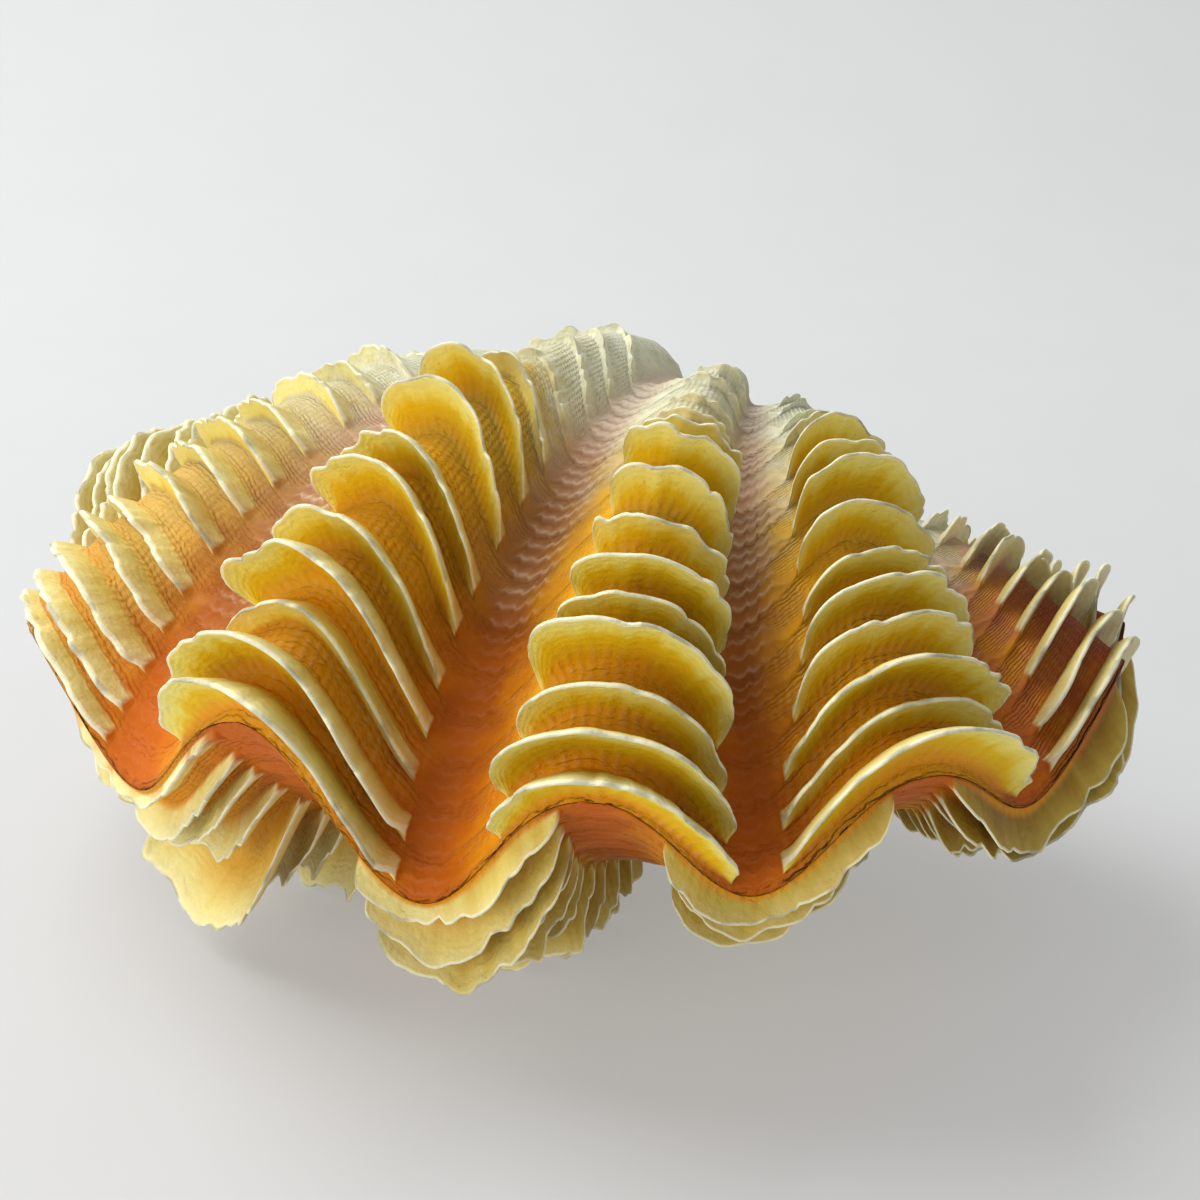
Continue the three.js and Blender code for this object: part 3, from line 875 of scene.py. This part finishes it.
# Camera at the photo's viewing angle, worked out from points of the photo. Angles in degrees, lengths in mm
CAMERA_AZIMUTH = 26.73
CAMERA_ELEVATION = 24.63
CAMERA_ROLL = -0.38
CAMERA_DISTANCE = 414.2
CAMERA_TARGET = (31.5, -90.0, 22.05)
CAMERA_LENS = 54.24
CAMERA_SENSOR = 36
CAMERA_NEAREST = 10.0


def add_camera(umbo):
    a, e, roll = (math.radians(v) for v in (CAMERA_AZIMUTH, CAMERA_ELEVATION, CAMERA_ROLL))
    back = Vector((math.sin(a) * math.cos(e), -math.cos(a) * math.cos(e), math.sin(e)))
    right = Vector((math.cos(a), math.sin(a), 0))
    up = back.cross(right)
    right = right * math.cos(roll) + up * math.sin(roll)
    up = back.cross(right)
    eye = Vector(umbo) + Vector(CAMERA_TARGET) * MM + back * CAMERA_DISTANCE * MM
    data = bpy.data.cameras.new("camera")
    data.lens = CAMERA_LENS
    data.sensor_width = CAMERA_SENSOR
    data.clip_start = CAMERA_NEAREST * MM
    camera = bpy.data.objects.new("camera", data)
    turn = Matrix((right, up, back)).transposed().to_4x4()
    camera.matrix_world = Matrix.Translation(eye) @ turn
    bpy.context.scene.collection.objects.link(camera)
    bpy.context.scene.camera = camera


# The studio, in metres. Lamps have a name, a place, a size, a power and a colour
LAMPS = [
    ("key", (-1.15, 0.15, 1.45), 2.0, 44.0, (0.98, 1.0, 1.0)),
    ("front", (-0.35, -1.1, 0.32), 0.9, 6.5, (1.0, 0.97, 0.9)),
]
LAMP_TARGET = (0.02, 0.0, 0.08)
WORLD_TONE = (0.94, 0.97, 1.0, 1.0)
WORLD_STRENGTH = 0.38
FLOOR_FRONT = -1.2
FLOOR_BACK = 0.6
FLOOR_HALF_WIDTH = 2.4
CURVE_RADIUS = 0.5
CURVE_STEPS = 12
BACKDROP_TOP = 2.4
FLOOR_TONES = ("a8a8a8", "acacac")
FLOOR_GRAIN = 60
FLOOR_GLOW = 0.29
FLOOR_ROUGHNESS = 0.8
FLOOR_GLOSS = 0.2
MAX_BOUNCES = 5
DIFFUSE_BOUNCES = 2


def add_lamp(name, place, size, power, colour):
    data = bpy.data.lights.new(name, "AREA")
    data.shape = "DISK"
    data.size = size
    data.energy = power
    data.color = colour
    light = bpy.data.objects.new(name, data)
    light.location = place
    light.rotation_euler = (Vector(LAMP_TARGET) - Vector(place)).to_track_quat("-Z", "Y").to_euler()
    bpy.context.scene.collection.objects.link(light)


def add_floor():
    """A plain pale floor that curves up into a backdrop."""
    rows = [(FLOOR_FRONT, 0.0), (FLOOR_BACK, 0.0)]
    for step in range(1, CURVE_STEPS + 1):
        turn = math.pi / 2 * step / CURVE_STEPS
        height = CURVE_RADIUS - CURVE_RADIUS * math.cos(turn)
        rows.append((FLOOR_BACK + CURVE_RADIUS * math.sin(turn), height))
    rows.append((FLOOR_BACK + CURVE_RADIUS, BACKDROP_TOP))
    a = math.radians(CAMERA_AZIMUTH)
    points = [(across * math.cos(a) - forward * math.sin(a), across * math.sin(a) + forward * math.cos(a), z)
              for forward, z in rows for across in (-FLOOR_HALF_WIDTH, FLOOR_HALF_WIDTH)]
    faces = [(2 * i, 2 * i + 1, 2 * i + 3, 2 * i + 2) for i in range(len(rows) - 1)]
    mesh = bpy.data.meshes.new("floor")
    mesh.from_pydata(points, [], faces)
    mesh.shade_smooth()
    floor = bpy.data.objects.new("floor", mesh)
    bpy.context.scene.collection.objects.link(floor)
    n = Nodes("floor")
    n.put(n.shader.inputs["Base Color"], n.mix(*map(rgb, FLOOR_TONES), n.noise(FLOOR_GRAIN, 2)))
    n.shader.inputs["Emission Color"].default_value = (1.0, 1.0, 1.0, 1.0)
    n.shader.inputs["Emission Strength"].default_value = FLOOR_GLOW
    n.shader.inputs["Roughness"].default_value = FLOOR_ROUGHNESS
    n.shader.inputs["Specular IOR Level"].default_value = FLOOR_GLOSS
    mesh.materials.append(n.material)


def add_studio():
    """The floor, soft lamps, a pale world and plain view settings."""
    add_floor()
    scene = bpy.context.scene
    scene.world = bpy.data.worlds.new("studio")
    scene.world.use_nodes = True
    background = scene.world.node_tree.nodes["Background"]
    background.inputs["Color"].default_value = WORLD_TONE
    background.inputs["Strength"].default_value = WORLD_STRENGTH
    for lamp in LAMPS:
        add_lamp(*lamp)
    scene.view_settings.view_transform = "Standard"
    scene.view_settings.look = "None"
    scene.cycles.max_bounces = MAX_BOUNCES
    scene.cycles.diffuse_bounces = DIFFUSE_BOUNCES
    scene.cycles.use_light_tree = False


low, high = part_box("hinge_ligament")
umbo = np.array([high[0] + LIGAMENT_NEAR * MM, low[1] - LIGAMENT_CLEARANCE * MM, (low[2] + high[2]) / 2])
add_camera(umbo)
for name, tones in (("upper", TONES), ("lower", LOWER_TONES)):
    piece = build_valve(name, f"{name}_valve", umbo)
    piece.data.materials.append(shell_material(f"{name}_shell", tones))
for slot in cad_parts["hinge_ligament"].material_slots:
    slot.material = ligament_material()
add_studio()
